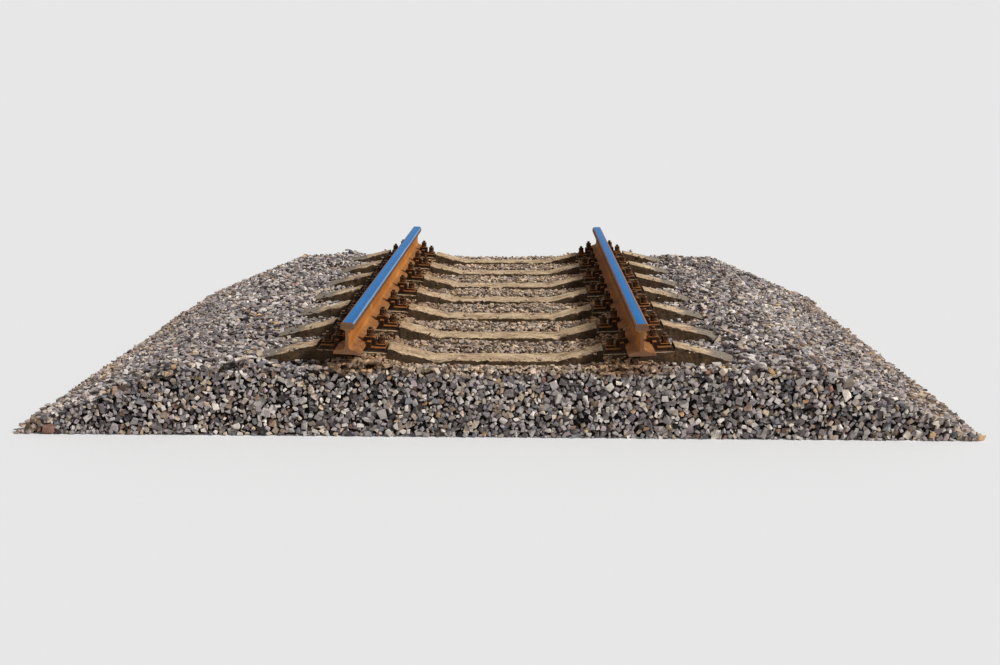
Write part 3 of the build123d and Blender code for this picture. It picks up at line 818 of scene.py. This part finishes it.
class Heap:
    """A height map that stones are dropped on until it is filled to its target."""

    # Shares of a stone's half sizes: what it rests on, what it covers, and how high the cover is
    RESTS_ON = 0.7
    COVERS = 0.9
    COVER_HEIGHT = 0.85

    def __init__(self, low, high, ground, target, room):
        """ground, target and room map places (u, v) to heights: what is there, where
        the fill ends, and how far a stone may stand above that."""
        self.low, self.high = np.array(low), np.array(high)
        shape = np.ceil((self.high - self.low) / STONE_CELL).astype(int)
        u = self.low[0] + (np.arange(shape[0]) + 0.5) * STONE_CELL
        v = self.low[1] + (np.arange(shape[1]) + 0.5) * STONE_CELL
        self.u, self.v = np.meshgrid(u, v, indexing="ij")
        self.height = ground(self.u, self.v)
        self.target = target(self.u, self.v)
        self.room = room(self.u, self.v)
        self.stones = []

    def cell(self, u, v):
        """The cell of the height map at a place."""
        i = int((u - self.low[0]) / STONE_CELL)
        j = int((v - self.low[1]) / STONE_CELL)
        return min(i, self.height.shape[0] - 1), min(j, self.height.shape[1] - 1)

    def patch(self, u, v, half_u, half_v):
        """The part of the height map within half_u and half_v of a place."""
        i0 = max(0, int((u - half_u - self.low[0]) / STONE_CELL))
        i1 = int((u + half_u - self.low[0]) / STONE_CELL) + 1
        j0 = max(0, int((v - half_v - self.low[1]) / STONE_CELL))
        j1 = int((v + half_v - self.low[1]) / STONE_CELL) + 1
        return self.height[i0:i1, j0:j1]

    def drop(self, u, v, size, tilt, room=None):
        """Drops one stone at a place. It stays if it doesn't stand too high."""
        points, triangles = SHAPES[rng.integers(len(SHAPES))]
        points = points @ turned(tilt).T * size / 2
        lowest, highest = points.min(0), points.max(0)
        points = points - (lowest + highest) / 2
        half = (highest - lowest) / 2
        u = min(max(u, self.low[0] + half[0]), self.high[0] - half[0])
        v = min(max(v, self.low[1] + half[1]), self.high[1] - half[1])
        under = self.patch(u, v, self.RESTS_ON * half[0], self.RESTS_ON * half[1])
        rest = (under + half[2] * dome(*under.shape)).max() - STONE_PRESS * half[2]
        limit = self.target[self.cell(u, v)] + self.room[self.cell(u, v)]
        if room is not None:
            limit = under.max() + room
        if rest + half[2] > limit:
            return False
        over = self.patch(u, v, self.COVERS * half[0], self.COVERS * half[1])
        np.maximum(over, rest + self.COVER_HEIGHT * half[2] * dome(*over.shape), out=over)
        self.stones.append((points + (u, v, rest), triangles))
        return True

    def fill(self, sizes, rounds, batch, gap, tilt=0.4):
        """Drops stones where the heap is low. sizes gives the range of sizes at a place."""
        for _ in range(rounds):
            cells = np.flatnonzero(self.target - self.height > gap)
            if not len(cells):
                return
            for cell in rng.choice(cells, min(batch, len(cells)), replace=False):
                i, j = divmod(int(cell), self.height.shape[1])
                if self.target[i, j] - self.height[i, j] < gap:
                    continue
                u = self.u[i, j] + rng.uniform(-0.5, 0.5) * STONE_CELL
                v = self.v[i, j] + rng.uniform(-0.5, 0.5) * STONE_CELL
                small, large = sizes(u, v)
                size = small + (large - small) * rng.beta(2.0, 2.4)
                if not self.drop(u, v, size, tilt):
                    self.drop(u, v, small, tilt)


def bed_surface(x):
    """Height of the finished stone surface across the track."""
    slope = BED_TOP / (TOE_X - SHOULDER_X)
    return np.minimum(BED_TOP, (TOE_X - np.abs(x)) * slope)


def sleepers_height(x, y):
    """Height of the sleepers' surfaces, and zero between them."""
    height = np.zeros_like(x)
    for centre in sleeper_ys:
        reach = (sleeper_base_half(x) - np.abs(y - centre)) / SIDE_LEAN
        shape = SLEEPER_BOTTOM + np.minimum(sleeper_top(x), reach)
        height = np.maximum(height, np.where((reach > 0) & (np.abs(x) < SLEEPER_HALF), shape, 0))
    return height


def mound(x, centre, height, spread):
    """The height of a smooth mound along the track, as far out on the left as on the right."""
    return height * np.exp(-((np.abs(x) - centre) / spread) ** 2)


def beside_sleepers(x, y):
    """1 between the rails right beside a sleeper, falling to 0 further off."""
    side_y, spread, last_x = 0.11, 0.035, 0.60
    gap = np.min([np.abs(np.abs(y - centre) - side_y) for centre in sleeper_ys], axis=0)
    return np.where(np.abs(x) < last_x, np.exp(-(gap / spread) ** 2), 0.0)


def heaped_surface(x, y):
    """The stone surface as it lies: uneven, low beside the sleepers, and heaped near the rails
    and where the stones lap over the sleepers' ends."""
    rail_heap = mound(x, centre=0.72, height=0.032, spread=0.17)
    end_heap = mound(x, centre=1.42, height=0.030, spread=0.10)
    surface = bed_surface(x) + unevenness(x, y, 0.25, 0.005)
    surface += rail_heap * (1 + unevenness(x, y, 0.2, 0.3))
    surface += end_heap * (1 + unevenness(x, y, 0.1, 0.5)).clip(0.2, 1.5)
    return surface - LOWER_BESIDE_SLEEPERS * beside_sleepers(x, y)


def stone_room(x, y):
    """How far a stone may stand above that surface."""
    in_crib = CRIB_ROOM - LESS_ROOM_BESIDE_SLEEPERS * beside_sleepers(x, y)
    return np.where(np.abs(x) < CRIB_X, in_crib, SHOULDER_ROOM)


def bed_stone_size(x, y):
    """Smaller stones between the rails, with an odd large one, and larger stones outside them."""
    if abs(x) > CRIB_X + 0.1 * rng.random():
        return SHOULDER_STONES
    return CRIB_ROCKS if rng.random() < 0.05 else CRIB_STONES


def heap_on_top():
    """Fills the cribs, the shoulders and the slopes, then scatters small stones on the sleepers."""
    heap = Heap(
        (-TOE_X, -HALF_LENGTH), (TOE_X, HALF_LENGTH),
        lambda x, y: np.maximum(np.maximum(bed_surface(x) - LAYER_DEPTH, 0), sleepers_height(x, y)),
        heaped_surface,
        stone_room,
    )
    heap.fill(bed_stone_size, rounds=9, batch=6000, gap=0.017, tilt=0.5)
    heap.fill(lambda x, y: GAP_STONES, rounds=1, batch=4000, gap=0.024)
    for _ in range(SCATTERED_STONES):
        x = rng.uniform(-1.3, 1.3)
        y = rng.choice(sleeper_ys) + rng.choice((-1, 1)) * rng.triangular(0, 0.10, 0.11)
        if abs(abs(x) - SEAT_X) > SEAT_HALF + 0.03:
            heap.drop(x, y, rng.triangular(0.006, 0.010, 0.034), 0.4, room=0.026)
    return heap


def stones_at_end(side, top):
    """Packs a cut end of the bed up to the stones on top, dropping stones on it from outside."""
    cells_in, smoothed_over, below = 8, 9, 0.010
    edge = top.height[:, :cells_in] if side < 0 else top.height[:, -cells_in:]
    level = np.convolve(edge.min(axis=1), np.ones(smoothed_over) / smoothed_over, mode="same")

    def in_section(x, z):
        return z < np.minimum(np.interp(x, top.u[:, 0], level), BED_TOP + below) - below

    heap = Heap(
        (-TOE_X, 0), (TOE_X, BED_TOP + END_ABOVE_BED),
        lambda x, z: np.where(in_section(x, z), -END_DEPTH, -0.002),
        lambda x, z: np.where(in_section(x, z), 0.0, -1.0),
        lambda x, z: np.zeros_like(x),
    )
    heap.fill(lambda x, z: END_STONES, rounds=9, batch=1500, gap=0.014, tilt=0.8)
    heap.fill(lambda x, z: END_GAP_STONES, rounds=1, batch=900, gap=0.020, tilt=0.8)
    stones = []
    for points, triangles in heap.stones:
        stood_up = np.stack([points[:, 0], side * (HALF_LENGTH + points[:, 2]), points[:, 1]], -1)
        stones.append((stood_up, triangles if side < 0 else triangles[:, ::-1]))
    return stones


def stone_piece(name, stones, material):
    """One object from many stones, with a colour of its own for each stone."""
    points, triangles, colours = [], [], []
    start = 0
    for stone_points, stone_triangles in stones:
        points.append(stone_points)
        triangles.append(stone_triangles + start)
        own = (rng.random(), rng.random(), rng.random(), 1.0)
        colours.append(np.tile(own, (len(stone_points), 1)))
        start += len(stone_points)
    points = np.concatenate(points)
    points[:, 0] = points[:, 0].clip(-TOE_X, TOE_X)
    points[:, 1] = points[:, 1].clip(-HALF_LENGTH, HALF_LENGTH)
    points[:, 2] = points[:, 2].clip(0, None)
    made = mesh_object(name, points, np.concatenate(triangles), material)
    layer = made.data.attributes.new(STONE_LAYER, "FLOAT_COLOR", "POINT")
    layer.data.foreach_set("color", np.concatenate(colours).astype(np.float32).ravel())
    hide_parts("ballast_bed")
    return made


def core_piece(material):
    """The body of the bed under its outer stones, higher between the rails and closed below."""
    coarse = np.arange(1.14, TOE_X - 0.09, 0.045)
    fine = np.arange(-1.12, 1.121, 0.017)
    xs = np.concatenate([-coarse[::-1], fine, coarse])
    ys = np.linspace(-HALF_LENGTH + LAYER_DEPTH, HALF_LENGTH - LAYER_DEPTH, 211)
    x, y = np.meshgrid(xs, ys, indexing="ij")
    deep = bed_surface(x) - LAYER_DEPTH - np.abs(unevenness(x, y, 0.07, 0.006))
    grit = BED_TOP - GRIT_DEPTH + unevenness(x, y, 0.12, 0.004) + 0.003 * rng.normal(size=x.shape)
    grit += mound(x, centre=0.70, height=0.012, spread=0.16)
    trodden = np.clip((1.05 - np.abs(x)) / 0.25, 0, 1)
    z = np.maximum(deep + (grit - deep) * trodden, 0.004)
    z[[0, -1], :] = 0
    z[:, [0, -1]] = 0
    rows, columns = z.shape
    index = np.arange(rows * columns).reshape(z.shape)
    rim = np.concatenate([index[:-1, 0], index[-1, :-1], index[:0:-1, -1], index[0, :0:-1]])
    below = np.stack([np.full_like(rim, rows * columns), np.roll(rim, -1), rim], 1)
    points = np.concatenate([np.stack([x, y, z], -1).reshape(-1, 3), [(0, 0, 0)]])
    triangles = np.concatenate([sheet_triangles(rows, columns), below])
    made = mesh_object("ballast_core", points, triangles, material)
    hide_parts("ballast_bed")
    return made


def add_ballast():
    """The single stones in pieces of a fair size, around the body of the bed."""
    stone = stone_material()
    heap = heap_on_top()
    top = heap.stones
    centres = np.array([points.mean(0) for points, _ in top])
    x, y = centres[:, 0], centres[:, 1]
    bands = {
        "ballast_left_slope": x < -SHOULDER_X,
        "ballast_left_shoulder": (x >= -SHOULDER_X) & (x < -CRIB_X),
        "ballast_between_rails_near": (np.abs(x) <= CRIB_X) & (y < 0),
        "ballast_between_rails_far": (np.abs(x) <= CRIB_X) & (y >= 0),
        "ballast_right_shoulder": (x > CRIB_X) & (x <= SHOULDER_X),
        "ballast_right_slope": x > SHOULDER_X,
    }
    for name, inside in bands.items():
        stone_piece(name, [top[k] for k in np.flatnonzero(inside)], stone)
    stone_piece("ballast_near_end", stones_at_end(-1, heap), stone)
    stone_piece("ballast_far_end", stones_at_end(1, heap), stone)
    core_piece(core_material())


# Rails, fastenings and pads, which keep the frame's own shapes

def paint_nodes():
    """Gives each kind of rail and fastening node its own material."""
    clip = iron_material("clip_iron", srgb(17, 9, 4), srgb(58, 33, 15), srgb(178, 112, 54))
    plate = iron_material("plate_iron", srgb(20, 11, 5), srgb(64, 38, 18), srgb(168, 106, 52))
    nut = nut_material()
    bolt = bolt_material()
    rubber = rubber_material()
    finishes = {
        "rail": rail_material(),
        "baseplates": plate,
        "clips": clip,
        "anchor_saddles": clip,
        "plate_pads": rubber,
        "rail_pads": rubber,
        "clip_bolts": bolt,
        "anchor_bolts": bolt,
        "clip_nuts": nut,
        "anchor_nuts": nut,
        "clip_washers": nut,
        "anchor_washers": nut,
    }
    for name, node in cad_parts.items():
        if name.startswith(("left_", "right_")):
            node.data.materials.clear()
            node.data.materials.append(finishes[name.partition("_")[2]])


# Floor and light

def add_floor():
    """The pale floor that the part stands on."""
    bpy.ops.mesh.primitive_plane_add(size=FLOOR_SIZE, location=(0, 0, 0))
    floor = bpy.context.object
    floor.name = "floor"
    shader = Shader("floor_pale")
    pale = (FLOOR_SHADE, FLOOR_SHADE, FLOOR_SHADE, 1.0)
    floor.data.materials.append(shader.finish(pale, 1.0, specular=0.0))


def add_key_light():
    """A soft key light from the right and a little in front."""
    sun = bpy.data.lights.new("key", "SUN")
    sun.energy = KEY_SHARE * math.pi / KEY_DIRECTION.z
    sun.angle = math.radians(KEY_SOFTNESS)
    key = bpy.data.objects.new("key", sun)
    key.rotation_euler = KEY_DIRECTION.to_track_quat("Z", "Y").to_euler()
    bpy.context.scene.collection.objects.link(key)


def add_surroundings():
    """Even fill light, and behind the part the same pale shade as the floor."""
    world = bpy.data.worlds.new("studio")
    bpy.context.scene.world = world
    world.use_nodes = True
    nodes, links = world.node_tree.nodes, world.node_tree.links
    fill = nodes["Background"]
    fill.inputs["Color"].default_value = (1, 1, 1, 1)
    fill.inputs["Strength"].default_value = FILL_SHARE
    seen = nodes.new("ShaderNodeBackground")
    seen.inputs["Color"].default_value = (1, 1, 1, 1)
    seen.inputs["Strength"].default_value = FLOOR_SHADE
    rays = nodes.new("ShaderNodeLightPath").outputs
    looking = rays["Is Camera Ray"]
    for kind in ("Is Glossy Ray", "Is Transmission Ray"):
        either = nodes.new("ShaderNodeMath")
        either.operation = "MAXIMUM"
        links.new(looking, either.inputs[0])
        links.new(rays[kind], either.inputs[1])
        looking = either.outputs[0]
    blend = nodes.new("ShaderNodeMixShader")
    links.new(looking, blend.inputs[0])
    links.new(fill.outputs[0], blend.inputs[1])
    links.new(seen.outputs[0], blend.inputs[2])
    links.new(blend.outputs[0], nodes["World Output"].inputs["Surface"])


add_camera()
concrete = concrete_material()
for sleeper_name, sleeper_y in zip(SLEEPER_NAMES, sleeper_ys):
    sleeper_piece(sleeper_name, sleeper_y, concrete)
add_ballast()
paint_nodes()
add_floor()
add_key_light()
add_surroundings()
bpy.context.scene.view_settings.view_transform = "Standard"
